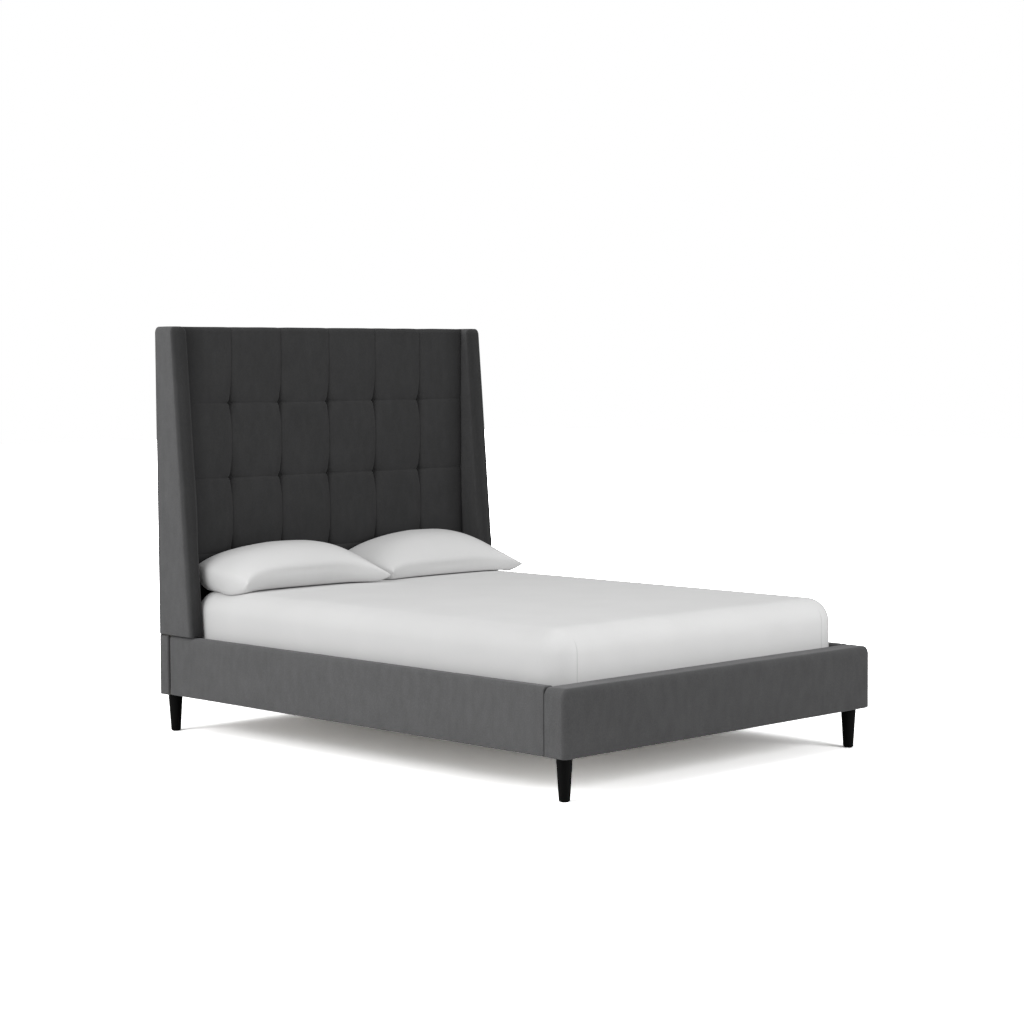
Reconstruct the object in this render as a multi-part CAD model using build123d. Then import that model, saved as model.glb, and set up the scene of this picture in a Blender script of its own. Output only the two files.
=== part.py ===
from build123d import *
import os

# Upholstered wing bed with a tufted headboard, a mattress and two pillows.
# Millimetres. The origin is on the floor under the middle of the bed, the head is towards +Y,
# the foot towards -Y, and +Z is up. Left and right are -X and +X.

# ---- Driving dimensions -------------------------------------------------------------------
BED_WIDTH = 1650.0
BED_LENGTH = 2250.0
HEADBOARD_HEIGHT = 1605.0
UNDERSIDE = 150.0          # clear height below the upholstered frame
RAIL_TOP = 386.0           # top of the side rails and the footboard

FABRIC = 2.0               # upholstery fabric with its lining
WRAP_FOAM = 8.0            # foam wrap on rails and footboard
TOP_FOAM = 10.0            # foam over every top edge
TIMBER = 40.0              # thickness of the headboard timbers

# Headboard, measured forward from its back face
FACE_BOARD = 5.0
PAD_DEPTH = 83.0           # back face to the crown of the tufted pad
TUFT_PITCH_X = 254.0
TUFT_PITCH_Z = 300.0
TUFT_COLUMNS = 5
TUFT_ROWS = 3
TUFT_TOP_DROP = 304.0      # headboard top down to the first row of tufts
TUFT_MOUTH_R = 24.0
TUFT_FLOOR_R = 8.0
TUFT_LINING = 1.5

# Wings
WING_THICKNESS = 64.0
WING_FOAM = 10.0
WING_DEPTH_TOP = 112.0
WING_DEPTH_BOTTOM = 217.0
WING_GAP = 4.0             # between the rail top and the wing
WING_EDGE_R = 14.0

# Posts below the wings
POST_DEPTH = 55.0          # upholstered depth of the post, back face to front
POST_SIDE_PAD = 12.0
POST_INNER_X = 702.0

# Side rails and footboard
RAIL_INSET = 6.0           # rail face behind the footboard's side face
RAIL_THICKNESS = 50.0
RAIL_BOARD = 30.0
FOOTBOARD_THICKNESS = 100.0
FOOTBOARD_BOARD = 18.0
FOOTBOARD_BLOCK = 100.0
SOFT_EDGE_R = 12.0

# Slatted deck
MATTRESS_TOP = 566.0
MATTRESS_THICKNESS = 280.0
SLAT_COUNT = 12
SLAT_WIDTH = 80.0
SLAT_THICKNESS = 18.0
LEDGER = 30.0

# Mattress, sheet and pillows
MATTRESS_HALF_WIDTH = 759.0
MATTRESS_FOOT_GAP = 3.0
MATTRESS_LENGTH = 2030.0
MATTRESS_CORNER_R = 88.0
MATTRESS_EDGE_R = 80.0
MATTRESS_BASE_R = 22.0
SHEET = 1.0
PILLOW_WIDTH = 742.0
PILLOW_DEPTH = 344.0
PILLOW_HEIGHT = 190.0
PILLOW_CENTRE_X = 376.0
PILLOW_BACK_GAP = 3.0

# Legs
LEG_TOP_R = 28.5
LEG_FOOT_R = 19.0
FRONT_LEG_INSET = (59.0, 57.0)
REAR_LEG_INSET = (54.0, 28.5)
GLIDE_R = 14.0
GLIDE_HEIGHT = 3.0

# Fasteners and fittings
BOLT_R = 4.0
BOLT_HOLE_R = 4.1
PLATE = 3.0
BRACKET_LENGTH = 80.0
BRACKET_LOW = 165.0
BRACKET_HIGH = 232.0
BRACKET_BOLT_HEIGHTS = (182.0, 214.0)
BRACKET_INNER_X = 716.0

# Centre support
BEAM_WIDTH = 40.0
BEAM_HEIGHT = 60.0
CENTRE_LEG_Y = 340.0
CENTRE_LEG_R = 19.0
THREAD_CLEARANCE = 0.05
LEVELLER_PAD_R = 20.0
LEVELLER_TRAVEL_GAP = 1.0  # the pad clears the floor by this much until it is wound down

# ---- Places worked out from the driving dimensions ------------------------------------------
HALF_W = BED_WIDTH / 2
HEAD_Y = BED_LENGTH / 2
FOOT_Y = -BED_LENGTH / 2

BACK_Y = HEAD_Y - FABRIC                       # back of the timbers
FRAME_FRONT_Y = BACK_Y - TIMBER                # front of the timbers
FACE_Y = FRAME_FRONT_Y - FACE_BOARD            # front of the face board
PAD_FRONT_Y = HEAD_Y - PAD_DEPTH
FRAME_TOP_Z = HEADBOARD_HEIGHT - FABRIC - TOP_FOAM
WING_INNER_X = HALF_W - WING_THICKNESS
WING_BASE_Z = RAIL_TOP + WING_GAP
POST_FRONT_Y = HEAD_Y - POST_DEPTH
POST_OUTER_X = HALF_W - POST_SIDE_PAD

RAIL_OUTER_X = HALF_W - RAIL_INSET
RAIL_INNER_X = RAIL_OUTER_X - RAIL_THICKNESS
RAIL_BOARD_OUTER_X = RAIL_OUTER_X - FABRIC - WRAP_FOAM
RAIL_BOARD_INNER_X = RAIL_BOARD_OUTER_X - RAIL_BOARD
FOOT_INNER_Y = FOOT_Y + FOOTBOARD_THICKNESS
FOOT_CORE_FRONT_Y = FOOT_Y + FABRIC + WRAP_FOAM
FOOT_CORE_BACK_Y = FOOT_INNER_Y - FABRIC - WRAP_FOAM
CORE_TOP_Z = RAIL_TOP - FABRIC - TOP_FOAM
CORE_BASE_Z = UNDERSIDE + FABRIC

DECK_Z = MATTRESS_TOP - MATTRESS_THICKNESS
SLAT_BASE_Z = DECK_Z - SLAT_THICKNESS
LINING_BASE_Z = SLAT_BASE_Z + FABRIC           # inner faces are upholstered down to here
BEAM_BASE_Z = SLAT_BASE_Z - BEAM_HEIGHT

MATTRESS_FOOT_Y = FOOT_INNER_Y + MATTRESS_FOOT_GAP
MATTRESS_HEAD_Y = MATTRESS_FOOT_Y + MATTRESS_LENGTH


# ---- Helpers ----------------------------------------------------------------------------------
def block(x0, x1, y0, y1, z0, z1):
    """A box between two opposite corners."""
    corner = (Align.MIN, Align.MIN, Align.MIN)
    return Pos(x0, y0, z0) * Box(x1 - x0, y1 - y0, z1 - z0, align=corner)


def mirrored(solid):
    """The left-hand twin of a right-hand piece."""
    return mirror(solid, about=Plane.YZ)


def pair(solid):
    """Left and right twins of one piece as a group."""
    return [mirrored(solid), solid]


def rod_z(x, y, z0, z1, radius):
    base = (Align.CENTER, Align.CENTER, Align.MIN)
    return Pos(x, y, z0) * Cylinder(radius, z1 - z0, align=base)


def rod_y(x, z, y0, y1, radius):
    base = (Align.CENTER, Align.CENTER, Align.MIN)
    return Pos(x, y1, z) * Rot(90, 0, 0) * Cylinder(radius, y1 - y0, align=base)


def rod_x(y, z, x0, x1, radius):
    base = (Align.CENTER, Align.CENTER, Align.MIN)
    return Pos(x0, y, z) * Rot(0, 90, 0) * Cylinder(radius, x1 - x0, align=base)


def soft_bar(x0, x1, y0, y1, z0, z1, radius, along):
    """A long padded bar whose two top edges along the given axis are rounded."""
    bar = block(x0, x1, y0, y1, z0, z1)
    return fillet(bar.edges().filter_by(along).group_by(Axis.Z)[-1], radius)


def write(name, solids):
    """Writes one node: a single solid or a group of separate solids."""
    shape = solids if not isinstance(solids, list) else Compound(children=solids)
    shape.label = name
    export_step(shape, f"parts/{name}.step")


# ---- Headboard ----------------------------------------------------------------------------------
def tuft_places():
    half = (TUFT_COLUMNS - 1) / 2
    for row in range(TUFT_ROWS):
        z = HEADBOARD_HEIGHT - TUFT_TOP_DROP - row * TUFT_PITCH_Z
        for column in range(TUFT_COLUMNS):
            yield (column - half) * TUFT_PITCH_X, z


def tuft_funnels(extra_radius, front_y):
    """The cones that the tufts pull into the pad, from near the face board out to front_y."""
    floor_y = FACE_Y - 1.0
    slope = (TUFT_MOUTH_R - TUFT_FLOOR_R) / (floor_y - PAD_FRONT_Y)
    height = floor_y - front_y
    small = TUFT_FLOOR_R + extra_radius
    base = (Align.CENTER, Align.CENTER, Align.MIN)
    cone = Rot(90, 0, 0) * Cone(small, small + slope * height, height, align=base)
    return [Pos(x, floor_y, z) * cone for x, z in tuft_places()]


def pad_envelope(inset, radius):
    """The pad between the wings, with rounded front edges at its top and bottom."""
    body = block(-WING_INNER_X, WING_INNER_X, PAD_FRONT_Y + inset, BACK_Y,
                 WING_BASE_Z + inset, HEADBOARD_HEIGHT - inset)
    front = body.faces().sort_by(Axis.Y)[0]
    return fillet(front.edges().filter_by(Axis.X), radius)


def tuft_tie_holes(front_y, back_y):
    tie_hole_r = 1.8
    return [rod_y(x, z, front_y, back_y, tie_hole_r) for x, z in tuft_places()]


def headboard_cover():
    """The tufted fabric, tucked under the pad's base as far as the timbers."""
    shell = pad_envelope(0, SOFT_EDGE_R + FABRIC) - pad_envelope(FABRIC, SOFT_EDGE_R)
    shell -= block(-WING_INNER_X, WING_INNER_X, FRAME_FRONT_Y, BACK_Y,
                   WING_BASE_Z, WING_BASE_Z + FABRIC)
    return shell + tuft_funnels(TUFT_LINING, PAD_FRONT_Y) - tuft_funnels(0, PAD_FRONT_Y - 1.0)


def headboard_foam():
    hard = block(-WING_INNER_X, WING_INNER_X, FACE_Y, BACK_Y, WING_BASE_Z, FRAME_TOP_Z)
    pad = pad_envelope(FABRIC, SOFT_EDGE_R) - hard - tuft_funnels(TUFT_LINING, PAD_FRONT_Y)
    return pad - tuft_tie_holes(FACE_Y - 1.0, FACE_Y)


def face_board():
    board = block(-WING_INNER_X, WING_INNER_X, FACE_Y, FRAME_FRONT_Y,
                  WING_BASE_Z + FABRIC, FRAME_TOP_Z)
    return board - tuft_tie_holes(FACE_Y, FRAME_FRONT_Y)


def tuft_button(x, z):
    """A covered button, its tie through the face board and the toggle behind."""
    button = rod_y(x, z, FACE_Y - 6.0, FACE_Y - 1.0, TUFT_FLOOR_R - 1.0)
    tie = rod_y(x, z, FACE_Y - 2.0, FRAME_FRONT_Y + 1.0, 1.5)
    toggle = rod_y(x, z, FRAME_FRONT_Y, FRAME_FRONT_Y + 3.0, 8.0)
    return button + tie + toggle


def headboard_post():
    """A notched timber: full width below the wing, narrow beside it."""
    tall = block(POST_INNER_X, WING_INNER_X, FRAME_FRONT_Y, BACK_Y, UNDERSIDE, FRAME_TOP_Z)
    foot = block(POST_INNER_X, POST_OUTER_X, FRAME_FRONT_Y, BACK_Y, UNDERSIDE, RAIL_TOP)
    post = tall + foot - leg_bolt_hole(rear_leg_place())
    return post - bracket_bolt_shanks(BOLT_HOLE_R - BOLT_R)


def headboard_rail(z0, z1):
    return block(-POST_INNER_X, POST_INNER_X, FRAME_FRONT_Y, BACK_Y, z0, z1)


def back_cover():
    panel = block(-HALF_W, HALF_W, BACK_Y, HEAD_Y, UNDERSIDE, HEADBOARD_HEIGHT)
    corners = panel.edges().filter_by(Axis.Y).group_by(Axis.Z)[-1]
    return fillet(corners, WING_EDGE_R)


# ---- Wings and posts ----------------------------------------------------------------------------
def wing_prism(inset, radius=0.0):
    """The wing with its front edge leaning back, inset all round except at its back."""
    rise = HEADBOARD_HEIGHT - WING_BASE_Z
    lean = (WING_DEPTH_BOTTOM - WING_DEPTH_TOP) / rise
    across = inset * (1 + lean**2) ** 0.5
    low, high = WING_BASE_Z + inset, HEADBOARD_HEIGHT - inset

    def front(z):
        return HEAD_Y - WING_DEPTH_BOTTOM + lean * (z - WING_BASE_Z) + across

    outline = Polyline((BACK_Y, low), (front(low), low), (front(high), high), (BACK_Y, high),
                       close=True)
    start = Plane.YZ.offset(WING_INNER_X + inset)
    prism = extrude(start * make_face(outline), amount=WING_THICKNESS - 2 * inset)
    if not radius:
        return prism
    free = [e for e in prism.edges() if e.center().Y < BACK_Y - 1.0]
    return fillet(free, radius)


def wing_cover():
    return wing_prism(0, WING_EDGE_R) - wing_prism(FABRIC, WING_EDGE_R - FABRIC)


def wing_foam():
    return wing_prism(FABRIC, WING_EDGE_R - FABRIC) - wing_prism(FABRIC + WING_FOAM)


def post_cover():
    """The padded wrap round the outside and front of the post, below the wing."""
    wrap = block(RAIL_BOARD_INNER_X, HALF_W, POST_FRONT_Y, BACK_Y, UNDERSIDE, RAIL_TOP)
    corner = wrap.edges().filter_by(Axis.Z).group_by(Axis.X)[-1].sort_by(Axis.Y)[0]
    wrap = fillet(corner, SOFT_EDGE_R - 4.0)
    return wrap - block(POST_INNER_X, POST_OUTER_X, FRAME_FRONT_Y, BACK_Y, UNDERSIDE, RAIL_TOP)


# ---- Side rails -----------------------------------------------------------------------------------
def rail_under_lining():
    """The space inside the rail below the deck, where the board is left bare."""
    return block(RAIL_INNER_X - 1, RAIL_BOARD_INNER_X, FOOT_INNER_Y, POST_FRONT_Y,
                 UNDERSIDE - 1, LINING_BASE_Z)


def rail_envelope(inset, radius):
    return soft_bar(RAIL_INNER_X + inset, RAIL_OUTER_X - inset, FOOT_INNER_Y, POST_FRONT_Y,
                    UNDERSIDE + inset, RAIL_TOP - inset, radius, Axis.Y)


def rail_board_blank():
    return block(RAIL_BOARD_INNER_X, RAIL_BOARD_OUTER_X, FOOT_INNER_Y, POST_FRONT_Y,
                 CORE_BASE_Z, CORE_TOP_Z)


def rail_board():
    return rail_board_blank() - bracket_bolt_shanks(BOLT_HOLE_R - BOLT_R)


def rail_foam():
    wrap = rail_envelope(FABRIC, SOFT_EDGE_R - FABRIC)
    return wrap - rail_board_blank() - rail_under_lining()


def rail_cover():
    skin = rail_envelope(0, SOFT_EDGE_R) - rail_envelope(FABRIC, SOFT_EDGE_R - FABRIC)
    return skin - rail_under_lining()


def slat_ledger():
    end_gap = 5.0
    return block(RAIL_BOARD_INNER_X - LEDGER, RAIL_BOARD_INNER_X,
                 FOOT_INNER_Y + end_gap, POST_FRONT_Y - end_gap,
                 SLAT_BASE_Z - LEDGER, SLAT_BASE_Z)


# ---- Footboard --------------------------------------------------------------------------------------
def footboard_under_lining():
    """The space behind the footboard below the deck, where its core is left bare."""
    return block(-RAIL_BOARD_INNER_X, RAIL_BOARD_INNER_X, FOOT_CORE_BACK_Y, FOOT_INNER_Y + 1,
                 UNDERSIDE - 1, LINING_BASE_Z)


def footboard_envelope(inset, radius):
    body = block(-HALF_W + inset, HALF_W - inset, FOOT_Y + inset, FOOT_INNER_Y - inset,
                 UNDERSIDE + inset, RAIL_TOP - inset)
    uprights = body.edges().filter_by(Axis.Z).group_by(Axis.Y)[0]
    body = fillet(uprights, radius)
    return fillet(body.faces().sort_by(Axis.Z)[-1].edges(), radius - 2.0)


def footboard_core_blank():
    return block(-POST_OUTER_X, POST_OUTER_X, FOOT_CORE_FRONT_Y, FOOT_CORE_BACK_Y,
                 CORE_BASE_Z, CORE_TOP_Z)


def footboard_core():
    """A glued box: two boards and a top batten over end and centre blocks."""
    core = footboard_core_blank()
    for side in (-1, 1):
        near, far = FOOTBOARD_BLOCK / 2, POST_OUTER_X - FOOTBOARD_BLOCK
        low, high = sorted((side * near, side * far))
        core -= block(low, high, FOOT_CORE_FRONT_Y + FOOTBOARD_BOARD,
                      FOOT_CORE_BACK_Y - FOOTBOARD_BOARD, CORE_BASE_Z,
                      CORE_TOP_Z - FOOTBOARD_BOARD)
    holes = bracket_bolt_shanks(BOLT_HOLE_R - BOLT_R) + [leg_bolt_hole(front_leg_place())]
    for hole in holes:
        core -= pair(hole)
    return core - beam_bolt_shanks(BOLT_HOLE_R - BOLT_R)


def footboard_foam():
    return (footboard_envelope(FABRIC, SOFT_EDGE_R - FABRIC) - footboard_core_blank()
            - footboard_under_lining())


def footboard_cover():
    skin = (footboard_envelope(0, SOFT_EDGE_R)
            - footboard_envelope(FABRIC, SOFT_EDGE_R - FABRIC) - footboard_under_lining())
    return skin - pair(leg_bolt_hole(front_leg_place()))


# ---- Legs ---------------------------------------------------------------------------------------------
def front_leg_place():
    return HALF_W - FRONT_LEG_INSET[0], FOOT_Y + FRONT_LEG_INSET[1]


def rear_leg_place():
    return HALF_W - REAR_LEG_INSET[0], HEAD_Y - REAR_LEG_INSET[1]


def leg_bolt(place, radius, low=112.0, high=188.0):
    return rod_z(*place, low, high, radius)


def leg_bolt_hole(place):
    return leg_bolt(place, BOLT_HOLE_R, 111.0, 190.0)


def leg(place):
    """A round tapered leg with a blind hole for its hanger bolt."""
    base = (Align.CENTER, Align.CENTER, Align.MIN)
    height = UNDERSIDE - GLIDE_HEIGHT
    body = Cone(LEG_FOOT_R, LEG_TOP_R, height, align=base)
    body = fillet(body.edges().group_by(Axis.Z)[0], 2.0)
    return Pos(*place, GLIDE_HEIGHT) * body - leg_bolt_hole(place)


def leg_places():
    """Name and place of each leg."""
    for end, (x, y) in (("front", front_leg_place()), ("rear", rear_leg_place())):
        for side, sign in (("left", -1), ("right", 1)):
            yield f"{end}_{side}", (sign * x, y)


# ---- Corner brackets and their bolts ----------------------------------------------------------------
def corner_y(at_head):
    """The face that a corner bracket is bolted to, and the way from it into the bed."""
    return (FRAME_FRONT_Y, -1) if at_head else (FOOT_CORE_BACK_Y, 1)


def bracket_bolt_shanks(grow, reach=28.0):
    """Shanks of the right-hand side's bracket bolts, made thicker by grow for their holes."""
    shanks = []
    for at_head in (True, False):
        face, inward = corner_y(at_head)
        rail_y = face + inward * (BRACKET_LENGTH - 22.0)
        for z in BRACKET_BOLT_HEIGHTS:
            side = RAIL_BOARD_INNER_X
            shanks.append(rod_x(rail_y, z, side - PLATE, side + reach + grow, BOLT_R + grow))
            low, high = sorted((face + inward * PLATE, face - inward * (reach + grow)))
            shanks.append(rod_y(BRACKET_INNER_X + 20.0, z, low, high, BOLT_R + grow))
    return shanks


def hex_head(radius=7.5, height=5.0):
    return extrude(RegularPolygon(radius, 6), amount=height)


def bracket_bolts():
    """Every right-hand bracket bolt as one solid each: shank and hexagon head."""
    bolts = []
    for at_head in (True, False):
        face, inward = corner_y(at_head)
        rail_y = face + inward * (BRACKET_LENGTH - 22.0)
        turn = 90 if inward < 0 else -90
        for z in BRACKET_BOLT_HEIGHTS:
            on_rail = Pos(RAIL_BOARD_INNER_X - PLATE, rail_y, z) * Rot(0, -90, 0) * hex_head()
            on_end = (Pos(BRACKET_INNER_X + 20.0, face + inward * PLATE, z)
                      * Rot(turn, 0, 0) * hex_head())
            bolts += [on_rail, on_end]
    return [head + shank for head, shank in zip(bolts, bracket_bolt_shanks(0.0))]


def corner_bracket(at_head):
    face, inward = corner_y(at_head)
    side = RAIL_BOARD_INNER_X
    near, far = sorted((face, face + inward * BRACKET_LENGTH))
    flange = block(side - PLATE, side, near, far, BRACKET_LOW, BRACKET_HIGH)
    low, high = sorted((face, face + inward * PLATE))
    plate = block(BRACKET_INNER_X, side, low, high, BRACKET_LOW, BRACKET_HIGH)
    return flange + plate - bracket_bolt_shanks(BOLT_HOLE_R - BOLT_R)


# ---- Centre support ---------------------------------------------------------------------------------
def centre_beam():
    return block(-BEAM_WIDTH / 2, BEAM_WIDTH / 2, FOOT_CORE_BACK_Y + PLATE,
                 FRAME_FRONT_Y - PLATE, BEAM_BASE_Z, SLAT_BASE_Z)


def beam_bolt_shanks(grow, reach=14.0):
    shanks = []
    for at_head in (True, False):
        face, inward = corner_y(at_head)
        low, high = sorted((face + inward * PLATE, face - inward * (reach + grow)))
        for x in (-20.0, 20.0):
            shanks.append(rod_y(x, BEAM_BASE_Z - 22.0, low, high, BOLT_R + grow))
    return shanks


def beam_bolts():
    bolts = []
    for at_head in (True, False):
        face, inward = corner_y(at_head)
        turn = 90 if inward < 0 else -90
        for x in (-20.0, 20.0):
            place = Pos(x, face + inward * PLATE, BEAM_BASE_Z - 22.0)
            bolts.append(place * Rot(turn, 0, 0) * hex_head())
    return [head + shank for head, shank in zip(bolts, beam_bolt_shanks(0.0))]


def beam_bracket(at_head):
    """An angle bolted to the end board, with the beam resting on its shelf."""
    face, inward = corner_y(at_head)
    half = 34.0
    low, high = sorted((face, face + inward * PLATE))
    plate = block(-half, half, low, high, BEAM_BASE_Z - 40.0, BEAM_BASE_Z + 40.0)
    near, far = sorted((face, face + inward * BRACKET_LENGTH))
    shelf = block(-half, half, near, far, BEAM_BASE_Z - PLATE, BEAM_BASE_Z)
    return plate + shelf - beam_bolt_shanks(BOLT_HOLE_R - BOLT_R)


PAD_BASE_Z = LEVELLER_TRAVEL_GAP
PAD_TOP_Z = PAD_BASE_Z + 6.0
COLLAR_BASE_Z = PAD_TOP_Z + 0.2
COLLAR_TOP_Z = COLLAR_BASE_Z + 5.0
CENTRE_LEG_BASE_Z = COLLAR_TOP_Z + 0.3
STEM_TOP_Z = CENTRE_LEG_BASE_Z + 66.0


def centre_leg(y):
    """A round leg under the beam, with a top plate and a threaded bore for its leveller."""
    tube = rod_z(0, y, CENTRE_LEG_BASE_Z, BEAM_BASE_Z - PLATE, CENTRE_LEG_R)
    plate = block(-30, 30, y - 35, y + 35, BEAM_BASE_Z - PLATE, BEAM_BASE_Z)
    bore = rod_z(0, y, CENTRE_LEG_BASE_Z, STEM_TOP_Z + 4.0, BOLT_R + THREAD_CLEARANCE)
    return tube + plate - bore


def leveller_stem(y):
    stem = rod_z(0, y, PAD_BASE_Z + 2.2, STEM_TOP_Z, BOLT_R)
    collar = Pos(0, y, COLLAR_BASE_Z) * extrude(RegularPolygon(9.0, 6), amount=5.0)
    return stem + collar


def leveller_pad(y):
    pad = rod_z(0, y, PAD_BASE_Z, PAD_TOP_Z, LEVELLER_PAD_R)
    pad = chamfer(pad.edges().group_by(Axis.Z)[-1], 2.0)
    return pad - rod_z(0, y, PAD_BASE_Z + 2.0, PAD_TOP_Z, BOLT_R + THREAD_CLEARANCE)


# ---- Slats, mattress and pillows ---------------------------------------------------------------------
def slat(index):
    margin = 45.0
    span = MATTRESS_LENGTH - 2 * margin
    y = MATTRESS_FOOT_Y + margin + index * span / (SLAT_COUNT - 1)
    half = RAIL_INNER_X - FABRIC
    bar = block(-half, half, y - SLAT_WIDTH / 2, y + SLAT_WIDTH / 2, SLAT_BASE_Z, DECK_Z)
    return chamfer(bar.edges().filter_by(Axis.X), 2.0)


def soft_block(x0, x1, y0, y1, z0, z1, corner_r, top_r, base_r=0.0):
    """A block with rounded upright corners and a rounded top, and a rounded base if asked."""
    body = block(x0, x1, y0, y1, z0, z1)
    body = fillet(body.edges().filter_by(Axis.Z), corner_r)
    body = fillet(body.faces().sort_by(Axis.Z)[-1].edges(), top_r)
    return fillet(body.faces().sort_by(Axis.Z)[0].edges(), base_r) if base_r else body


def mattress():
    return soft_block(-MATTRESS_HALF_WIDTH, MATTRESS_HALF_WIDTH,
                      MATTRESS_FOOT_Y, MATTRESS_HEAD_Y, DECK_Z, MATTRESS_TOP,
                      MATTRESS_CORNER_R, MATTRESS_EDGE_R, MATTRESS_BASE_R)


def fitted_sheet():
    """The sheet over the mattress top and sides, down to its rounded base."""
    low = DECK_Z + MATTRESS_BASE_R
    skin = soft_block(-MATTRESS_HALF_WIDTH - SHEET, MATTRESS_HALF_WIDTH + SHEET,
                      MATTRESS_FOOT_Y - SHEET, MATTRESS_HEAD_Y + SHEET,
                      low, MATTRESS_TOP + SHEET,
                      MATTRESS_CORNER_R + SHEET, MATTRESS_EDGE_R + SHEET)
    return skin - mattress()


def pillow(sign):
    rest_gap = 0.3
    low = MATTRESS_TOP + SHEET + rest_gap
    back = PAD_FRONT_Y - PILLOW_BACK_GAP
    centre = sign * PILLOW_CENTRE_X
    return soft_block(centre - PILLOW_WIDTH / 2, centre + PILLOW_WIDTH / 2,
                      back - PILLOW_DEPTH, back, low, low + PILLOW_HEIGHT, 70.0, 66.0, 40.0)


# ---- Every node ----------------------------------------------------------------------------------------
def write_sides(name, solid):
    write(f"{name}_left", mirrored(solid))
    write(f"{name}_right", solid)


def write_headboard():
    write_sides("headboard_post", headboard_post())
    write("headboard_top_rail", headboard_rail(FRAME_TOP_Z - 60.0, FRAME_TOP_Z))
    lower = headboard_rail(UNDERSIDE, UNDERSIDE + 200.0)
    write("headboard_bottom_rail", lower - beam_bolt_shanks(BOLT_HOLE_R - BOLT_R))
    write("headboard_face_board", face_board())
    write("headboard_foam", headboard_foam())
    write("headboard_front_cover", headboard_cover())
    write("headboard_back_cover", back_cover())
    write("tuft_buttons", [tuft_button(x, z) for x, z in tuft_places()])
    write_sides("wing_core", wing_prism(FABRIC + WING_FOAM))
    write_sides("wing_foam", wing_foam())
    write_sides("wing_cover", wing_cover())
    write_sides("post_cover", post_cover())


def write_rails():
    write_sides("side_rail_board", rail_board())
    write_sides("side_rail_foam", rail_foam())
    write_sides("side_rail_cover", rail_cover())
    write_sides("slat_ledger", slat_ledger())
    write("footboard_core", footboard_core())
    write("footboard_foam", footboard_foam())
    write("footboard_cover", footboard_cover())


def write_supports():
    places = dict(leg_places())
    for name, place in places.items():
        write(f"leg_{name}", leg(place))
    write("leg_bolts", [leg_bolt(place, BOLT_R) for place in places.values()])
    write("leg_glides", [rod_z(*place, 0, GLIDE_HEIGHT, GLIDE_R) for place in places.values()])
    brackets = [side for at_head in (True, False) for side in pair(corner_bracket(at_head))]
    write("corner_brackets", brackets)
    bolts = [side for bolt in bracket_bolts() for side in pair(bolt)]
    write("bracket_bolts", bolts + beam_bolts())
    write("centre_beam", centre_beam())
    write("beam_brackets", [beam_bracket(True), beam_bracket(False)])
    for end, y in (("front", -CENTRE_LEG_Y), ("rear", CENTRE_LEG_Y)):
        write(f"centre_leg_{end}", centre_leg(y))
        write(f"leveller_stem_{end}", leveller_stem(y))
        write(f"leveller_pad_{end}", leveller_pad(y))
    for index in range(SLAT_COUNT):
        write(f"slat_{index + 1:02d}", slat(index))


def write_bedding():
    write("mattress", mattress())
    write("fitted_sheet", fitted_sheet())
    write("pillow_left", pillow(-1))
    write("pillow_right", pillow(1))


os.makedirs("parts", exist_ok=True)
write_headboard()
write_rails()
write_supports()
write_bedding()
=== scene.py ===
"""Looks for an upholstered bed: a tufted headboard with wings, padded rails, a mattress and two pillows.

Every length is in metres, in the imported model's own frame: +X to the right of someone who stands at the
foot and faces the headboard, +Y towards the headboard, +Z up.
"""

import math

import bmesh
import bpy
import numpy as np
from mathutils import Matrix, Vector, noise


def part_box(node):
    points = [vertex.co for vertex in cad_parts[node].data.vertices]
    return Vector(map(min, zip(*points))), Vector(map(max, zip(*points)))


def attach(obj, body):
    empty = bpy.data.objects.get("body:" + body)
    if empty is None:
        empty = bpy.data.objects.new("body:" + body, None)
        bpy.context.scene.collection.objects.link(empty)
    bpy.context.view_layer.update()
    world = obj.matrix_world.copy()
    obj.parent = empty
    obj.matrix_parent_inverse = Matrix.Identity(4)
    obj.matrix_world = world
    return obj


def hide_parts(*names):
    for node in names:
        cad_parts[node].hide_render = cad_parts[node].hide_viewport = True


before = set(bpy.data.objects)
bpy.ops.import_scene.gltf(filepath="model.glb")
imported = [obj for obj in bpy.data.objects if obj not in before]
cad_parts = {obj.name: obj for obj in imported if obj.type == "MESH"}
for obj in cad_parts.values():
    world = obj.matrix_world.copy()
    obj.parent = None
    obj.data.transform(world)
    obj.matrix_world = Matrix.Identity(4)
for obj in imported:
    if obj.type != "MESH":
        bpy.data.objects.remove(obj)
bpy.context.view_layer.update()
MM = 0.001
noise.seed_set(1)       # without it noise_vector, and so ripple, differs on every run


# ---- Driving values -----------------------------------------------------------------------------
PAD_LOW, PAD_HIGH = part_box("headboard_front_cover")
BACK_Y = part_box("headboard_back_cover")[1].y
SHEET_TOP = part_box("fitted_sheet")[1].z
SHEET_ROUND = 88 * MM       # the fitted sheet's rounded edges

TUFT_PITCH_X, TUFT_PITCH_Z, FIRST_TUFT_BELOW_TOP = 254 * MM, 300 * MM, 304 * MM
TUFT_COLUMNS = [(i - 2) * TUFT_PITCH_X for i in range(5)]
TUFT_ROWS = [PAD_HIGH.z - FIRST_TUFT_BELOW_TOP - i * TUFT_PITCH_Z for i in range(3)]

# The camera was solved from the photo's straight edges; yaw, pitch and roll are in degrees.
CAMERA_PLACE = Vector((-6.2324, -6.4389, 1.4621))
CAMERA_YAW, CAMERA_PITCH, CAMERA_ROLL = 44.234, 3.7007, -0.26515
CAMERA_LENS = 81.83


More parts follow.
